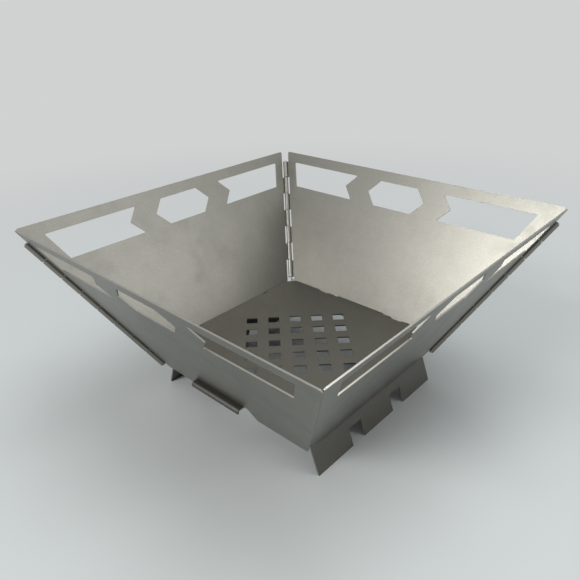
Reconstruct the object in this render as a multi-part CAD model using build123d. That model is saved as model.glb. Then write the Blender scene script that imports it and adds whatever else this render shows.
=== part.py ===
from build123d import *
import os
from math import acos, atan2, cos, hypot, pi, sin, sqrt, tan

# Folding camp stove: four flared sheet walls, hinged into a ring, stand round a low folding base.
# All sizes are in millimetres. The origin is on the floor below the centre of the stove, +Z is up.
# The front wall faces -Y, the right wall +X, the back wall +Y and the left wall -X.

# The ring of walls, measured on the inner faces
rim_half = 152.0
rim_height = 154.0
bottom_half = 79.5
bottom_height = 22.3
wall_sheet = 1.0
tip_radius = 1.5

# Cut-outs below the rim: a ribbon, a hexagon and a ribbon in each wall
rim_band = 10.0
cutout_height = 24.5
side_band = 13.5
hexagon_flat_half = 20.5
chevron_depth = 10.5
chevron_web = 27.3
cutout_radius = 0.8

# The notch in the bottom edge of the front and back walls, round the base's tab
notch_side_gap = 4.0
notch_above_tab = 0.3
notch_radius = 1.5

# The relief at the foot of the left and right walls, beside the back and front corners
relief_width = 14.0
relief_height = 20.0

# The rolled hinges between the walls: outside the left and right corners, inside the back one
hinge_pin_radius = 1.25
hinge_running_gap = 0.05
knuckle_pitch = 18.6
knuckle_gap = 0.8
curl_slit = 0.3
hinge_from_rim = 13.4
outer_slot = 0.4
inner_slot = 1.6
strip_root = 1.0
pin_overhang = 0.4

# The ear at the foot of the back wall, which closes the corner below the hinge's last knuckle
ear_setback = 0.3
ear_to_knuckle = 0.6

# The open seam at the front corner, where the front wall laps the right wall's edge
seam_lap = 0.9
seam_setback = 0.35

# The base: a window frame with a hooked tab for each notch
frame_sheet = 1.2
frame_top = 39.5
frame_to_wall = 4.0
frame_corner_chamfer = 8.0
frame_side_band = 5.0
frame_end_band = 11.5
tab_half = 26.5
hook_reach = 7.2
hook_drop = 3.6
hook_radius = 2.6

# The two folding legs
leg_sheet = 1.2
leg_end_to_wall = 3.5
leg_tilt = 20.0
leg_to_wall = 0.2
leg_pin_radius = 1.0
leg_notch_offset = 27.3
leg_notch_width = 15.0
leg_notch_height = 13.8
leg_knuckle_gap = 0.4
leg_knuckles = 7
leg_hinge_from_end = 1.5

# The loose fire plate
plate_sheet = 1.2
plate_to_wall = 1.6
plate_chamfer = 8.0
hole_side = 10.0
hole_pitch = 20.0
holes_a_side = 5
edge_notch_offset = 43.0
edge_notch_width = 12.5
edge_notch_depth = 2.0

# Derived values of the wall's shape
flare = rim_half - bottom_half
rise = rim_height - bottom_height
slant = hypot(flare, rise)
flare_angle = atan2(flare, rise)
edge_angle = atan2(flare, slant)
corner_angle = pi - acos(sin(flare_angle) ** 2)
half_corner = corner_angle / 2
edge_length = slant / cos(edge_angle)
relief_length = relief_height / cos(edge_angle)
outer_knuckles = int((edge_length - hinge_from_rim) // knuckle_pitch)
inner_knuckles = int((edge_length - hinge_from_rim - relief_length) // knuckle_pitch)
notch_half = tab_half + notch_side_gap
notch_rise = (frame_top + notch_above_tab - bottom_height) / cos(flare_angle)
notch_height = notch_rise + wall_sheet * tan(flare_angle)


def inner_half(height):
    """Half the inside width of the ring at a height above the floor."""
    return bottom_half + (height - bottom_height) * flare / rise


class RolledHinge:
    """The section of a hinge rolled from two sheets round a pin."""

    def __init__(self, sheet, pin_radius, slot):
        """slot is the gap between a barrel and the edge of the other sheet."""
        self.sheet = sheet
        self.bore = pin_radius + hinge_running_gap
        self.barrel = self.bore + sheet
        self.cut_back = sqrt(self.barrel ** 2 - self.bore ** 2) + slot

    def knuckle(self, root, side):
        """The section of one knuckle, round its axis, with its strip running to -X at root.

        side is 1 where the barrel lies above the sheet, and -1 where it lies below it."""
        strip_middle = -side * (self.bore + self.sheet / 2)
        strip = Pos(-root / 2, strip_middle) * Rectangle(root, self.sheet)
        slit_width = self.barrel
        slit_middle = -side * (self.bore - curl_slit / 2)
        slit = Pos(-slit_width / 2 - self.bore / 4, slit_middle) * Rectangle(slit_width, curl_slit)
        curl = Circle(self.barrel) - slit
        return curl + strip - Circle(self.bore)


outer_hinge = RolledHinge(wall_sheet, hinge_pin_radius, outer_slot)
inner_hinge = RolledHinge(wall_sheet, hinge_pin_radius, inner_slot)
leg_hinge = RolledHinge(leg_sheet, leg_pin_radius, outer_slot)


class WallEdge:
    """One slanted edge of a wall, in the wall's own flat frame."""

    def __init__(self, end, inset):
        """end is -1 or 1 for the wall's two ends; inset is measured square to the edge."""
        self.end = end
        self.inset = inset
        self.along = Vector(end * sin(edge_angle), cos(edge_angle), 0)
        self.across = Vector(end * cos(edge_angle), -sin(edge_angle), 0)

    def corner(self, height, inset=None):
        """The corner of the sheet at a distance up the wall; inset replaces the edge's own one."""
        inset = self.inset if inset is None else inset
        half = bottom_half + height * flare / slant - inset / cos(edge_angle)
        return (self.end * half, height)


class HingedEdge(WallEdge):
    """A slanted edge with the knuckles of a hinge."""

    def __init__(self, end, hinge, outside):
        """outside says on which side of the sheet the barrels lie."""
        self.hinge = hinge
        self.side = 1 if outside else -1
        self.knuckles = outer_knuckles if outside else inner_knuckles
        self.axis_out = hinge.barrel if outside else -hinge.bore
        self.axis_across = self.axis_out / tan(half_corner)
        super().__init__(end, hinge.cut_back - self.axis_across)

    def section_plane(self, from_rim):
        """The plane across the hinge axis, at a distance down the edge from the rim."""
        rim_corner = Vector(self.end * rim_half, slant, 0)
        foot = rim_corner - self.along * from_rim + self.across * self.axis_across
        origin = foot + Vector(0, 0, self.axis_out)
        return Plane(origin=origin, x_dir=self.across, z_dir=self.along * -self.end)

    def knuckle(self, number):
        """One knuckle, counted from the rim."""
        middle = hinge_from_rim + knuckle_pitch * (number + 0.5)
        section = self.hinge.knuckle(self.hinge.cut_back + strip_root, self.side)
        half_length = (knuckle_pitch - knuckle_gap) / 2
        return extrude(self.section_plane(middle) * section, half_length, both=True)

    def pin(self):
        """The pin through all the knuckles of this edge."""
        length = knuckle_pitch * self.knuckles
        middle = hinge_from_rim + length / 2
        section = self.section_plane(middle) * Circle(hinge_pin_radius)
        return extrude(section, length / 2 + pin_overhang, both=True)


def closed(points):
    """A flat face with straight sides through the points."""
    return make_face(Polyline(*points, close=True))


def rounded(face, radius):
    """The face with all its corners rounded."""
    return fillet(face.vertices(), radius)


def hexagon_cutout():
    """The hexagon in the middle of a wall."""
    top = slant - rim_band
    middle = top - cutout_height / 2
    bottom = top - cutout_height
    flat = hexagon_flat_half
    point = flat + chevron_depth
    right_half = [(flat, top), (point, middle), (flat, bottom)]
    left_half = [(-x, y) for x, y in reversed(right_half)]
    return rounded(closed(right_half + left_half), cutout_radius)


def ribbon_cutout(end):
    """The ribbon at one end of a wall, whose notched end follows the hexagon's point."""
    top = slant - rim_band
    middle = top - cutout_height / 2
    bottom = top - cutout_height
    near = hexagon_flat_half + chevron_web
    far_top = rim_half - rim_band * tan(edge_angle) - side_band / cos(edge_angle)
    far_bottom = far_top - cutout_height * tan(edge_angle)
    far_end = [(far_top, top), (far_bottom, bottom)]
    near_end = [(near, bottom), (near + chevron_depth, middle), (near, top)]
    return rounded(closed([(end * x, y) for x, y in far_end + near_end]), cutout_radius)


def wall_notch():
    """The notch in the bottom edge, open downwards."""
    corners = [(-notch_half, notch_height), (notch_half, notch_height)]
    below = -tip_radius
    face = closed([(-notch_half, below), *corners, (notch_half, below)])
    inner = face.vertices().group_by(Axis.Y)[-1]
    return fillet(inner, notch_radius)


def foot_ear(edge):
    """The ear that widens a wall's sheet below the knuckles of its inside hinge."""
    hinge_length = hinge_from_rim + knuckle_pitch * inner_knuckles
    top = slant - (hinge_length + ear_to_knuckle) * cos(edge_angle)
    root = edge.inset + 2 * tip_radius
    outer_side = [edge.corner(top, ear_setback), edge.corner(0, ear_setback)]
    return closed([edge.corner(top, root), *outer_side, edge.corner(0, root)])


def wall_sheet_face(first, last, notched):
    """The flat outline of a wall with its cut-outs, and its notch or its relief."""
    foot = [first.corner(0)]
    if not notched:
        foot = [(foot[0][0] + relief_width, 0), first.corner(relief_height)]
    outline = closed([first.corner(slant), last.corner(slant), last.corner(0), *foot])
    sheet = rounded(outline, tip_radius) - hexagon_cutout() - ribbon_cutout(-1) - ribbon_cutout(1)
    if isinstance(last, HingedEdge) and last.side == -1:
        sheet += foot_ear(last)
    return sheet - wall_notch() if notched else sheet


def wall_plane(quarter):
    """The inner face of a wall; quarter counts the turns about +Z from the front wall."""
    flat = Plane(
        origin=(0, -bottom_half, bottom_height),
        x_dir=(1, 0, 0),
        z_dir=(0, -cos(flare_angle), -sin(flare_angle)),
    )
    return Plane(Rot(0, 0, 90 * quarter) * flat.location)


def wall_edges(quarter):
    """The two edges of a wall, seen from outside: its left one, then its right one."""
    outer = [HingedEdge(end, outer_hinge, outside=True) for end in (-1, 1)]
    inner = [HingedEdge(end, inner_hinge, outside=False) for end in (-1, 1)]
    front = (outer[0], WallEdge(1, -seam_lap))
    right = (WallEdge(-1, seam_setback), outer[1])
    back = (outer[0], inner[1])
    left = (inner[0], outer[1])
    return (front, right, back, left)[quarter]


def wall(quarter):
    """A whole wall: its sheet and every other knuckle of each of its hinges."""
    edges = wall_edges(quarter)
    body = extrude(wall_sheet_face(*edges, notched=quarter % 2 == 0), wall_sheet)
    for edge in edges:
        if isinstance(edge, HingedEdge):
            for number in range(quarter % 2, edge.knuckles, 2):
                body += edge.knuckle(number)
    return wall_plane(quarter) * body


def wall_pin(quarter, edge_number):
    """The pin in the hinge at the left (0) or right (1) edge of a wall."""
    return wall_plane(quarter) * wall_edges(quarter)[edge_number].pin()


# Derived places of the base
leg_lean = leg_tilt * pi / 180
frame_bottom = frame_top - frame_sheet
leg_axis_height = frame_top - leg_hinge.barrel
leg_touch_half = bottom_half - leg_to_wall
leg_face_reach = leg_touch_half * cos(leg_lean) + bottom_height * sin(leg_lean)
leg_axis_half = (leg_face_reach - leg_hinge.barrel - leg_axis_height * sin(leg_lean)) / cos(leg_lean)
frame_edge_half = leg_axis_half - leg_hinge.cut_back
frame_half_y = bottom_half - frame_to_wall
window_half_x = frame_edge_half - frame_side_band
window_half_y = frame_half_y - frame_end_band
leg_half_y = bottom_half - leg_end_to_wall
leg_hinge_end = frame_half_y - frame_corner_chamfer - leg_hinge_from_end
leg_knuckle_pitch = 2 * leg_hinge_end / leg_knuckles


def leg_knuckle(plane, number, side):
    """One knuckle of a leg hinge, on the plane that holds its section at the middle."""
    section = leg_hinge.knuckle(leg_hinge.cut_back + strip_root, side)
    half_length = (leg_knuckle_pitch - leg_knuckle_gap) / 2
    middle = leg_knuckle_pitch * (number + 0.5) - leg_hinge_end
    return Pos(0, middle, 0) * extrude(plane * section, half_length, both=True)


def frame_hinge_plane():
    """The section of the right leg hinge, with X along the frame's sheet."""
    return Plane(origin=(leg_axis_half, 0, leg_axis_height), x_dir=(1, 0, 0), z_dir=(0, -1, 0))


def leg_hinge_plane():
    """The section of the right leg hinge, with X up the leg's sheet."""
    up_leg = (-sin(leg_lean), 0, cos(leg_lean))
    return Plane(origin=(leg_axis_half, 0, leg_axis_height), x_dir=up_leg, z_dir=(0, -1, 0))


def mirrored_pair(shape):
    """A shape and its mirror image across the middle plane, X = 0."""
    return shape + mirror(shape, Plane.YZ)


def hooked_tab():
    """The tab through the front wall's notch, with its edge bent down."""
    tip = inner_half(frame_top) + hook_reach
    length = tip - window_half_y
    flat_middle = Pos(0, -window_half_y - length / 2, frame_top - frame_sheet / 2)
    flat = flat_middle * Box(2 * tab_half, length, frame_sheet)
    lip_middle = frame_top - hook_drop / 2
    lip = Pos(0, -tip + frame_sheet / 2, lip_middle) * Box(2 * tab_half, frame_sheet, hook_drop)
    tab = flat + lip
    bends = tab.edges().filter_by(Axis.X)
    outer_bend = bends.group_by(Axis.Z)[-1].sort_by(Axis.Y)[0]
    inner_bend = bends.group_by(Axis.Y)[1].sort_by(Axis.Z)[-1]
    tab = fillet(outer_bend, hook_radius)
    return fillet(tab.edges().sort_by_distance(inner_bend.center())[0], hook_radius - frame_sheet)


def base_frame():
    """The window frame with its two tabs and its share of the leg hinges' knuckles."""
    outer = chamfer(Rectangle(2 * frame_edge_half, 2 * frame_half_y).vertices(), frame_corner_chamfer)
    window = Rectangle(2 * window_half_x, 2 * window_half_y)
    sheet = extrude(Pos(0, 0, frame_bottom) * (outer - window), frame_sheet)
    for number in range(0, leg_knuckles, 2):
        sheet += mirrored_pair(leg_knuckle(frame_hinge_plane(), number, -1))
    front = hooked_tab()
    return sheet + front + mirror(front, Plane.XZ)


def right_leg():
    """A leg: a leaning sheet with two notches in its foot, trimmed level with the floor."""
    plane = leg_hinge_plane()
    reach = leg_hinge.cut_back
    foot = leg_axis_height / cos(leg_lean) + leg_hinge.barrel
    middle = (leg_hinge.bore + leg_hinge.barrel) / 2
    section = Pos(-(reach + foot) / 2, -middle) * Rectangle(foot - reach, leg_sheet)
    leg = extrude(plane * section, leg_half_y, both=True)
    for number in range(1, leg_knuckles, 2):
        leg += leg_knuckle(plane, number, 1)
    far = leg_axis_half + foot
    for end in (-1, 1):
        leg -= Pos(far, end * leg_notch_offset, 0) * Box(2 * far, leg_notch_width, 2 * leg_notch_height)
    return leg - Pos(0, 0, -foot) * Box(4 * far, 4 * leg_half_y, 2 * foot)


def right_leg_pin():
    """The pin of the right leg's hinge."""
    return extrude(frame_hinge_plane() * Circle(leg_pin_radius), leg_hinge_end + pin_overhang, both=True)


def fire_plate():
    """The loose plate: small notches in its edges and a square grid of holes, turned by 45 degrees."""
    half = inner_half(frame_top) - plate_to_wall
    square = Rectangle(2 * half, 2 * half)
    barrel_corners = [v for v in square.vertices() if v.X * v.Y < 0]
    outline = chamfer(barrel_corners, plate_chamfer)
    turn = Rot(0, 0, 45)
    holes = GridLocations(hole_pitch, hole_pitch, holes_a_side, holes_a_side)
    cuts = [turn * place * Rectangle(hole_side, hole_side) for place in holes]
    for quarter in range(4):
        for end in (-1, 1):
            place = Rot(0, 0, 90 * quarter) * Pos(half, end * edge_notch_offset)
            cuts.append(place * Rectangle(2 * edge_notch_depth, edge_notch_width))
    return extrude(Pos(0, 0, frame_top) * (outline - cuts), plate_sheet)


parts = {
    "front_wall": wall(0),
    "right_wall": wall(1),
    "back_wall": wall(2),
    "left_wall": wall(3),
    "left_hinge_pin": wall_pin(3, 1),
    "back_hinge_pin": wall_pin(3, 0),
    "right_hinge_pin": wall_pin(1, 1),
    "base_frame": base_frame(),
    "fire_plate": fire_plate(),
    "right_leg": right_leg(),
    "left_leg": mirror(right_leg(), Plane.YZ),
    "right_leg_pin": right_leg_pin(),
    "left_leg_pin": mirror(right_leg_pin(), Plane.YZ),
}

os.makedirs("parts", exist_ok=True)
for name, shape in parts.items():
    export_step(shape, f"parts/{name}.step")
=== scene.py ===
"""Looks of a folding camp stove.

Blasted sheet walls stand round a perforated fire plate, on a low folding base.
"""

import logging
import math
from dataclasses import dataclass, field
from enum import Enum
from typing import Any, ClassVar, Sequence

import bpy
from mathutils import Matrix, Vector


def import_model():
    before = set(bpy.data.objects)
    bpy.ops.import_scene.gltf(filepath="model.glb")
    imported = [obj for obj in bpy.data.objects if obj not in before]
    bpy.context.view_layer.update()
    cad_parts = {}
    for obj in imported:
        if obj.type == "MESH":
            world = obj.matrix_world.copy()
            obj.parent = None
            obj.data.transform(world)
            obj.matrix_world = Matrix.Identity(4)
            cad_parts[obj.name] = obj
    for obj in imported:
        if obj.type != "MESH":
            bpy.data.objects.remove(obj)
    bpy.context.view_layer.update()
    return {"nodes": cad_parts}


LOG = logging.getLogger("camp_stove")

Rgba = tuple[float, float, float, float]


def mm(length: float) -> float:
    """Return a length in millimetres as metres."""
    return length / 1000.0


def linear(hex_colour: str) -> Rgba:
    """Turn an sRGB colour into linear light.

    Args:
        hex_colour: the colour as "#rrggbb".

    Returns:
        The linear red, green and blue, and an alpha of 1.
    """
    channels = [int(hex_colour[i : i + 2], 16) / 255.0 for i in (1, 3, 5)]
    red, green, blue = (
        c / 12.92 if c <= 0.04045 else ((c + 0.055) / 1.055) ** 2.4 for c in channels
    )
    return (red, green, blue, 1.0)


def add_node(
    tree: bpy.types.NodeTree,
    kind: str,
    settings: dict[str, Any] | None = None,
    inputs: dict[Any, Any] | None = None,
) -> bpy.types.Node:
    """Add a node with its settings, its values and its links.

    Args:
        tree: the tree that gets the node.
        kind: the node's type.
        settings: attributes of the node itself.
        inputs: a value or an output socket for each input, by name or number.

    Returns:
        The new node.
    """
    node = tree.nodes.new(kind)
    for name, value in (settings or {}).items():
        setattr(node, name, value)
    for key, value in (inputs or {}).items():
        if isinstance(value, bpy.types.NodeSocket):
            tree.links.new(value, node.inputs[key])
        else:
            node.inputs[key].default_value = value
    return node


def seen_ray(tree: bpy.types.NodeTree) -> bpy.types.NodeSocket:
    """Tell the rays that show a surface from the rays that light one.

    Args:
        tree: the tree of a material or of the world.

    Returns:
        The socket that is 1 for a ray from the camera, off metal or through glass.
    """
    path = add_node(tree, "ShaderNodeLightPath").outputs
    off_metal = add_node(
        tree,
        "ShaderNodeMath",
        {"operation": "ADD"},
        {0: path["Is Camera Ray"], 1: path["Is Glossy Ray"]},
    )
    seen = add_node(
        tree,
        "ShaderNodeMath",
        {"operation": "ADD", "use_clamp": True},
        {0: off_metal.outputs[0], 1: path["Is Transmission Ray"]},
    )
    return seen.outputs[0]


class Pattern(Enum):
    """The size of each mark on the sheet, in millimetres."""

    # Glass beads leave pits of about 0.1 mm. They are drawn at 0.9 mm, the finest that shows.
    BLAST_PIT = 0.9
    # Rolling lines are some tenths of a millimetre wide. They are drawn at 1.2 mm to show.
    ROLLING_LINE_WIDTH = 1.2
    ROLLING_LINE_LENGTH = 70.0
    # Oxide and handling leave clouds about as wide as a thumb.
    CLOUD = 32.0
    SMUDGE = 9.0

    @property
    def frequency(self) -> float:
        """The noise scale that gives marks of this size, per metre."""
        return 1.0 / mm(self.value)


@dataclass(frozen=True)
class SheetPlane:
    """Where a flat sheet lies: its outer face's normal, and the span of the sheet along it."""

    # Faces whose normals round to the same steps of 1/200 count as one plane
    NORMAL_STEPS: ClassVar[int] = 200
    PARALLEL: ClassVar[float] = 0.9999
    LEVEL: ClassVar[float] = 0.99
    HEIGHT_STEP: ClassVar[float] = mm(0.05)

    normal: Vector
    inner: float
    outer: float

    @classmethod
    def of_node(cls, node: bpy.types.Object) -> "SheetPlane":
        """Measure the plane of a sheet from its largest faces.

        Args:
            node: a sheet part that lies in its place in the frame.

        Returns:
            The plane, with its normal pointing away from the stove's middle, or up if level.
        """
        areas: dict[tuple[int, int, int], float] = {}
        for face in node.data.polygons:
            key = tuple(round(c * cls.NORMAL_STEPS) for c in face.normal)
            areas[key] = areas.get(key, 0.0) + face.area
        normal = Vector(max(areas, key=areas.get)).normalized()
        flat_faces = [
            face for face in node.data.polygons if abs(face.normal.dot(normal)) > cls.PARALLEL
        ]
        total = sum(face.area for face in flat_faces)
        middle = sum((face.center * face.area for face in flat_faces), Vector()) / total
        outward = Vector((middle.x, middle.y, 0.0))
        is_level = abs(normal.z) > cls.LEVEL
        if (normal.z if is_level else normal.dot(outward)) < 0:
            normal.negate()
        heights: dict[int, float] = {}
        for face in flat_faces:
            key = round(face.center.dot(normal) / cls.HEIGHT_STEP)
            heights[key] = heights.get(key, 0.0) + face.area
        inner, outer = sorted(sorted(heights, key=heights.get)[-2:])
        return cls(normal, inner * cls.HEIGHT_STEP, outer * cls.HEIGHT_STEP)

    @property
    def along(self) -> Vector:
        """The level direction in the sheet."""
        if abs(self.normal.z) > self.LEVEL:
            return Vector((1.0, 0.0, 0.0))
        return Vector((-self.normal.y, self.normal.x, 0.0)).normalized()

    @property
    def upward(self) -> Vector:
        """The direction up the sheet, square to the level one."""
        return self.normal.cross(self.along).normalized()


@dataclass(frozen=True)
class BlastedSheet:
    """Cold-rolled stainless sheet, blasted with glass beads after it was cut by laser.

    Blasting takes the mirror off the sheet. It leaves a soft grey sheen with no sharp
    reflections and faint rolling lines. The cut edges are coloured lighter than the faces,
    a painted highlight for the light that the edges catch.
    """

    name: str
    metal: str
    clouded_metal: str
    cut_edge_highlight: str
    # The cut edges' colour, lighter than the faces: a painted highlight for the light they
    # catch
    roughness: float
    cloud_depth: float = 0.55
    edge_roughness: float = 0.34
    pit_bump: float = 0.10
    pit_depth: float = mm(0.03)
    pit_contrast: float = 0.10
    line_contrast: float = 0.015
    cloud_polish: float = -0.03
    cloud_dulling: float = 0.05
    smudge_share: float = 0.3
    edge_tolerance: float = mm(0.12)
    edge_lean: float = 0.5

    def build(self, plane: SheetPlane, suffix: str) -> bpy.types.Material:
        """Make the material for one sheet.

        Args:
            plane: where the sheet lies, so that its edges and rolling lines can be found.
            suffix: what tells this sheet's material from its sisters'.

        Returns:
            The finished material.
        """
        material = bpy.data.materials.new(f"{self.name}_{suffix}")
        material.use_nodes = True
        tree = material.node_tree
        tree.nodes.clear()
        place = add_node(tree, "ShaderNodeTexCoord")
        cloud = self._clouds(tree, place.outputs["Object"])
        lines = self._rolling_lines(tree, place.outputs["Object"], plane)
        pits = add_node(
            tree,
            "ShaderNodeTexNoise",
            inputs={
                "Vector": place.outputs["Object"],
                "Scale": Pattern.BLAST_PIT.frequency,
                "Detail": 3.0,
                "Roughness": 0.6,
            },
        )
        edge = self._edge_mask(tree, place, plane)
        face_colour = add_node(
            tree,
            "ShaderNodeMix",
            {"data_type": "RGBA"},
            {"Factor": cloud, 6: linear(self.metal), 7: linear(self.clouded_metal)},
        )
        pitted = add_node(
            tree,
            "ShaderNodeHueSaturation",
            inputs={
                "Value": self._spread(
                    tree, pits.outputs["Fac"], 1 - self.pit_contrast, 1 + self.pit_contrast
                ),
                "Color": face_colour.outputs[2],
            },
        )
        lined = add_node(
            tree,
            "ShaderNodeHueSaturation",
            inputs={
                "Value": self._spread(
                    tree, lines, 1 - self.line_contrast, 1 + self.line_contrast
                ),
                "Color": pitted.outputs["Color"],
            },
        )
        # The cut edges get the lighter colour: a painted highlight, whatever the light
        colour = add_node(
            tree,
            "ShaderNodeMix",
            {"data_type": "RGBA"},
            {"Factor": edge, 6: lined.outputs["Color"], 7: linear(self.cut_edge_highlight)},
        )
        sheen = add_node(
            tree,
            "ShaderNodeMath",
            {"operation": "ADD"},
            {
                0: self._spread(tree, cloud, self.cloud_polish, self.cloud_dulling),
                1: self.roughness,
            },
        )
        roughness = add_node(
            tree,
            "ShaderNodeMix",
            {"data_type": "FLOAT"},
            {"Factor": edge, 2: sheen.outputs[0], 3: self.edge_roughness},
        )
        bump = add_node(
            tree,
            "ShaderNodeBump",
            inputs={
                "Strength": self.pit_bump,
                "Distance": self.pit_depth,
                "Height": pits.outputs["Fac"],
            },
        )
        shader = add_node(
            tree,
            "ShaderNodeBsdfPrincipled",
            inputs={
                "Base Color": colour.outputs[2],
                "Metallic": 1.0,
                "Roughness": roughness.outputs[0],
                "Normal": bump.outputs["Normal"],
            },
        )
        add_node(
            tree, "ShaderNodeOutputMaterial", inputs={"Surface": shader.outputs["BSDF"]}
        )
        return material

    def _spread(
        self, tree: bpy.types.NodeTree, value: bpy.types.NodeSocket, low: float, high: float
    ) -> bpy.types.NodeSocket:
        """Spread the middle of a noise value over a range.

        Args:
            tree: the material's tree.
            value: the noise, from 0 to 1.
            low: the result where the noise is weak.
            high: the result where the noise is strong.

        Returns:
            The socket with the result.
        """
        ranged = add_node(
            tree,
            "ShaderNodeMapRange",
            inputs={
                "Value": value,
                "From Min": 0.3,
                "From Max": 0.7,
                "To Min": low,
                "To Max": high,
            },
        )
        return ranged.outputs["Result"]

    def _clouds(
        self, tree: bpy.types.NodeTree, place: bpy.types.NodeSocket
    ) -> bpy.types.NodeSocket:
        """Draw the soft clouds of oxide and handling.

        Args:
            tree: the material's tree.
            place: the point on the sheet.

        Returns:
            The socket with the clouds' strength.
        """
        broad = add_node(
            tree,
            "ShaderNodeTexNoise",
            inputs={
                "Vector": place,
                "Scale": Pattern.CLOUD.frequency,
                "Detail": 4.0,
                "Roughness": 0.55,
                "Distortion": 0.6,
            },
        )
        small = add_node(
            tree,
            "ShaderNodeTexNoise",
            inputs={
                "Vector": place,
                "Scale": Pattern.SMUDGE.frequency,
                "Detail": 3.0,
                "Roughness": 0.5,
            },
        )
        both = add_node(
            tree,
            "ShaderNodeMix",
            {"data_type": "FLOAT"},
            {"Factor": self.smudge_share, 2: broad.outputs["Fac"], 3: small.outputs["Fac"]},
        )
        return self._spread(tree, both.outputs[0], 0.0, self.cloud_depth)

    def _rolling_lines(
        self, tree: bpy.types.NodeTree, place: bpy.types.NodeSocket, plane: SheetPlane
    ) -> bpy.types.NodeSocket:
        """Draw the faint lines that the rolls left along the sheet.

        Args:
            tree: the material's tree.
            place: the point on the sheet.
            plane: where the sheet lies.

        Returns:
            The socket with the lines' strength.
        """
        along = add_node(
            tree,
            "ShaderNodeVectorMath",
            {"operation": "DOT_PRODUCT"},
            {0: place, 1: plane.along * Pattern.ROLLING_LINE_LENGTH.frequency},
        )
        across = add_node(
            tree,
            "ShaderNodeVectorMath",
            {"operation": "DOT_PRODUCT"},
            {0: place, 1: plane.upward * Pattern.ROLLING_LINE_WIDTH.frequency},
        )
        flat = add_node(
            tree,
            "ShaderNodeCombineXYZ",
            inputs={"X": along.outputs["Value"], "Y": across.outputs["Value"]},
        )
        noise = add_node(
            tree,
            "ShaderNodeTexNoise",
            {"noise_dimensions": "2D"},
            {"Vector": flat.outputs["Vector"], "Scale": 1.0, "Detail": 2.0},
        )
        return noise.outputs["Fac"]

    def _edge_mask(
        self, tree: bpy.types.NodeTree, place: bpy.types.Node, plane: SheetPlane
    ) -> bpy.types.NodeSocket:
        """Find the cut edges: faces square to the sheet, and between its two sides.

        Args:
            tree: the material's tree.
            place: the texture coordinate node.
            plane: where the sheet lies.

        Returns:
            The socket that is 1 on a cut edge and 0 elsewhere.
        """
        facing = add_node(
            tree,
            "ShaderNodeVectorMath",
            {"operation": "DOT_PRODUCT"},
            {0: place.outputs["Normal"], 1: plane.normal},
        )
        square_on = add_node(
            tree,
            "ShaderNodeMath",
            {"operation": "COMPARE"},
            {0: facing.outputs["Value"], 1: 0.0, 2: self.edge_lean},
        )
        depth = add_node(
            tree,
            "ShaderNodeVectorMath",
            {"operation": "DOT_PRODUCT"},
            {0: place.outputs["Object"], 1: plane.normal},
        )
        half_sheet = (plane.outer - plane.inner) / 2
        in_sheet = add_node(
            tree,
            "ShaderNodeMath",
            {"operation": "COMPARE"},
            {
                0: depth.outputs["Value"],
                1: (plane.outer + plane.inner) / 2,
                2: half_sheet + self.edge_tolerance,
            },
        )
        both = add_node(
            tree,
            "ShaderNodeMath",
            {"operation": "MULTIPLY"},
            {0: square_on.outputs[0], 1: in_sheet.outputs[0]},
        )
        return both.outputs[0]


@dataclass(frozen=True)
class DrawnWire:
    """Stainless wire, drawn and cropped: darker and a little shinier than the blasted sheet."""

    name: str = "drawn_stainless_wire"
    metal: str = "#8d8b86"
    roughness: float = 0.33
    roughness_spread: float = 0.08
    # The die leaves lines of some hundredths of a millimetre, drawn at 0.6 mm to show
    die_line: float = 0.6

    def build(self) -> bpy.types.Material:
        """Return the finished material, with the fine lines that the die left."""
        material = bpy.data.materials.new(self.name)
        material.use_nodes = True
        tree = material.node_tree
        tree.nodes.clear()
        place = add_node(tree, "ShaderNodeTexCoord")
        lines = add_node(
            tree,
            "ShaderNodeTexNoise",
            inputs={
                "Vector": place.outputs["Object"],
                "Scale": 1.0 / mm(self.die_line),
                "Detail": 2.0,
            },
        )
        roughness = add_node(
            tree,
            "ShaderNodeMapRange",
            inputs={
                "Value": lines.outputs["Fac"],
                "To Min": self.roughness - self.roughness_spread,
                "To Max": self.roughness + self.roughness_spread,
            },
        )
        shader = add_node(
            tree,
            "ShaderNodeBsdfPrincipled",
            inputs={
                "Base Color": linear(self.metal),
                "Metallic": 1.0,
                "Roughness": roughness.outputs["Result"],
            },
        )
        add_node(
            tree, "ShaderNodeOutputMaterial", inputs={"Surface": shader.outputs["BSDF"]}
        )
        return material


# The fourth colour of each finish lightens the cut edges: a painted highlight
# The walls: blasted stainless, a plain mid grey with a touch of warmth
WALL_FINISH = BlastedSheet("blasted_stainless_wall", "#898882", "#7b7a74", "#acaba3", 0.42)
# The plate: the same sheet from a darker, browner batch
PLATE_FINISH = BlastedSheet("blasted_stainless_plate", "#6a6861", "#5d5b53", "#918d83", 0.50)
# The base and legs: as the plate, a shade cooler and smoother
BASE_FINISH = BlastedSheet("blasted_stainless_base", "#676561", "#5a5955", "#95928b", 0.46)


def dress(node: bpy.types.Object, material: bpy.types.Material) -> None:
    """Give a part one material and report it.

    Args:
        node: the part.
        material: its finish.
    """
    if not node.material_slots:
        node.data.materials.append(None)
    for slot in node.material_slots:
        slot.link = "OBJECT"
        slot.material = material
    LOG.info("%s is finished in %s", node.name, material.name)


def break_edges(node: bpy.types.Object, width: float, angle: float) -> None:
    """Round the sharp edges of a sheet a little, as blasting does.

    Args:
        node: the sheet part.
        width: the width of the rounding, in metres.
        angle: the least angle of an edge that is rounded, in degrees.
    """
    bevel = node.modifiers.new("blasted_edge", "BEVEL")
    bevel.width = width
    bevel.segments = 2
    bevel.limit_method = "ANGLE"
    bevel.angle_limit = math.radians(angle)


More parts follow.
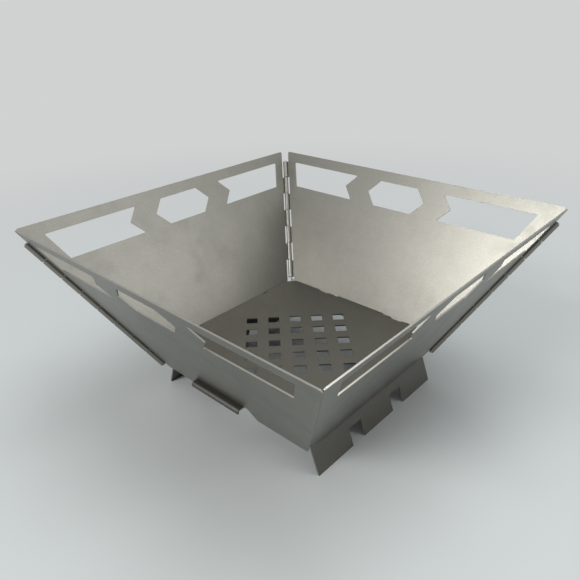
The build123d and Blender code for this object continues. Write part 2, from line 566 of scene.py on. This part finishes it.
@dataclass
class SheetGroup:
    """A sub-assembly of blasted sheet parts and the wire pins that go with them."""

    nodes: dict[str, bpy.types.Object]
    wire: bpy.types.Material
    sheets: Sequence[str]
    pins: Sequence[str]
    finish: BlastedSheet
    edge_width: float = mm(0.12)
    edge_angle: float = 50.0

    def build(self) -> None:
        """Dress the group's sheets and pins."""
        for name in self.sheets:
            node = self.nodes[name]
            plane = SheetPlane.of_node(node)
            dress(node, self.finish.build(plane, name))
            break_edges(node, self.edge_width, self.edge_angle)
        for name in self.pins:
            dress(self.nodes[name], self.wire)


@dataclass
class WallRing(SheetGroup):
    """The four flared walls and the pins of their corner hinges."""

    sheets: Sequence[str] = ("front_wall", "right_wall", "back_wall", "left_wall")
    pins: Sequence[str] = ("left_hinge_pin", "right_hinge_pin", "back_hinge_pin")
    finish: BlastedSheet = WALL_FINISH


@dataclass
class FirePlate(SheetGroup):
    """The loose perforated plate."""

    sheets: Sequence[str] = ("fire_plate",)
    pins: Sequence[str] = ()
    finish: BlastedSheet = PLATE_FINISH


@dataclass
class FoldingBase(SheetGroup):
    """The window frame, its two splayed legs and their pins."""

    sheets: Sequence[str] = ("base_frame", "left_leg", "right_leg")
    pins: Sequence[str] = ("left_leg_pin", "right_leg_pin")
    finish: BlastedSheet = BASE_FINISH


@dataclass
class SoftBox:
    """One large soft lamp, which points at a spot on the stove."""

    name: str
    place: tuple[float, float, float]
    size: tuple[float, float]
    watts: float
    colour: str = "#ffffff"
    target: tuple[float, float, float] = (0.0, 0.0, 0.08)

    def build(self) -> None:
        """Add the lamp to the scene."""
        data = bpy.data.lights.new(self.name, "AREA")
        data.shape = "RECTANGLE"
        data.size, data.size_y = self.size
        data.energy = self.watts
        data.color = linear(self.colour)[:3]
        lamp = bpy.data.objects.new(self.name, data)
        lamp.location = self.place
        aim = Vector(self.target) - Vector(self.place)
        lamp.rotation_euler = aim.to_track_quat("-Z", "Y").to_euler()
        bpy.context.scene.collection.objects.link(lamp)


@dataclass
class Studio:
    """The pale table, the soft light and the camera. Lengths are in metres."""

    table_colour: str = "#c3c8c9"
    table_size: float = 40.0
    table_roughness: float = 0.55
    # The table fades into the background between these distances from the stove's middle
    fade_start: float = 0.22
    fade_end: float = 1.00
    sky_colour: str = "#eef0f0"
    # The sky's strength as light on the scene, and as it is seen by the camera and in metal
    sky_light: float = 0.36
    sky_seen: float = 0.74
    camera_place: tuple[float, float, float] = (0.2795, -0.3073, 0.3084)
    camera_lens: float = 35.23
    camera_sensor: float = 36.0
    camera_aim: tuple[float, float, float] = (-0.0040, -0.0038, 0.0917)
    camera_roll: float = -1.55
    lamps: list[SoftBox] = field(
        default_factory=lambda: [
            SoftBox("top_softbox", (0.20, 0.40, 1.50), (1.4, 1.2), 14.0, "#fdfefe"),
            SoftBox("front_softbox", (-0.20, -1.50, 1.05), (0.7, 0.6), 20.0, "#fffdfa"),
            SoftBox("right_softbox", (1.35, 0.70, 0.80), (0.8, 0.6), 4.0, "#fffdfa"),
        ]
    )

    def build(self) -> None:
        """Add the whole studio to the scene."""
        self._table()
        self._sky()
        for lamp in self.lamps:
            lamp.build()
        self._camera()

    def _table(self) -> None:
        """Add the pale table that the stove stands on."""
        half = self.table_size / 2
        mesh = bpy.data.meshes.new("table_top")
        outline = [(-half, -half, 0), (half, -half, 0), (half, half, 0), (-half, half, 0)]
        mesh.from_pydata(outline, [], [(0, 1, 2, 3)])
        table = bpy.data.objects.new("table_top", mesh)
        bpy.context.scene.collection.objects.link(table)
        mesh.materials.append(self._table_paper())

    def _table_paper(self) -> bpy.types.Material:
        """Return matt pale paper, which is seen to fade into the background far away."""
        material = bpy.data.materials.new("matt_pale_paper")
        material.use_nodes = True
        tree = material.node_tree
        tree.nodes.clear()
        place = add_node(tree, "ShaderNodeTexCoord")
        distance = add_node(
            tree, "ShaderNodeVectorMath", {"operation": "LENGTH"}, {0: place.outputs["Object"]}
        )
        fade = add_node(
            tree,
            "ShaderNodeMapRange",
            {"interpolation_type": "SMOOTHSTEP"},
            {
                "Value": distance.outputs["Value"],
                "From Min": self.fade_start,
                "From Max": self.fade_end,
            },
        )
        seen_fade = add_node(
            tree,
            "ShaderNodeMath",
            {"operation": "MULTIPLY"},
            {0: fade.outputs["Result"], 1: seen_ray(tree)},
        )
        paper = add_node(
            tree,
            "ShaderNodeBsdfPrincipled",
            inputs={
                "Base Color": linear(self.table_colour),
                "Roughness": self.table_roughness,
            },
        )
        background = add_node(
            tree,
            "ShaderNodeEmission",
            inputs={"Color": linear(self.sky_colour), "Strength": self.sky_seen},
        )
        blend = add_node(
            tree,
            "ShaderNodeMixShader",
            inputs={0: seen_fade.outputs[0], 1: paper.outputs[0], 2: background.outputs[0]},
        )
        add_node(tree, "ShaderNodeOutputMaterial", inputs={"Surface": blend.outputs[0]})
        return material

    def _sky(self) -> None:
        """Light the room evenly, and show a pale background to the camera and in the metal."""
        world = bpy.data.worlds.new("pale_room")
        bpy.context.scene.world = world
        world.use_nodes = True
        tree = world.node_tree
        tree.nodes.clear()
        strength = add_node(
            tree,
            "ShaderNodeMix",
            {"data_type": "FLOAT"},
            {"Factor": seen_ray(tree), 2: self.sky_light, 3: self.sky_seen},
        )
        light = add_node(
            tree,
            "ShaderNodeBackground",
            inputs={"Color": linear(self.sky_colour), "Strength": strength.outputs[0]},
        )
        add_node(
            tree, "ShaderNodeOutputWorld", inputs={"Surface": light.outputs["Background"]}
        )

    def _camera(self) -> None:
        """Add the camera at the photograph's angle."""
        data = bpy.data.cameras.new("photo_camera")
        data.lens = self.camera_lens
        data.sensor_width = self.camera_sensor
        camera = bpy.data.objects.new("photo_camera", data)
        aim = Vector(self.camera_aim) - Vector(self.camera_place)
        turn = aim.to_track_quat("-Z", "Y").to_matrix().to_4x4()
        roll = Matrix.Rotation(math.radians(self.camera_roll), 4, "Z")
        camera.matrix_world = Matrix.Translation(self.camera_place) @ turn @ roll
        bpy.context.scene.collection.objects.link(camera)
        bpy.context.scene.camera = camera


def main() -> None:
    """Build every sub-assembly around the frame, then the studio."""
    logging.basicConfig(level=logging.INFO, format="%(name)s: %(message)s")
    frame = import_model()
    wire = DrawnWire().build()
    for group in (WallRing, FirePlate, FoldingBase):
        group(nodes=frame["nodes"], wire=wire).build()
    Studio().build()
    bpy.context.scene.view_settings.view_transform = "Standard"


if __name__ == "__main__":
    main()
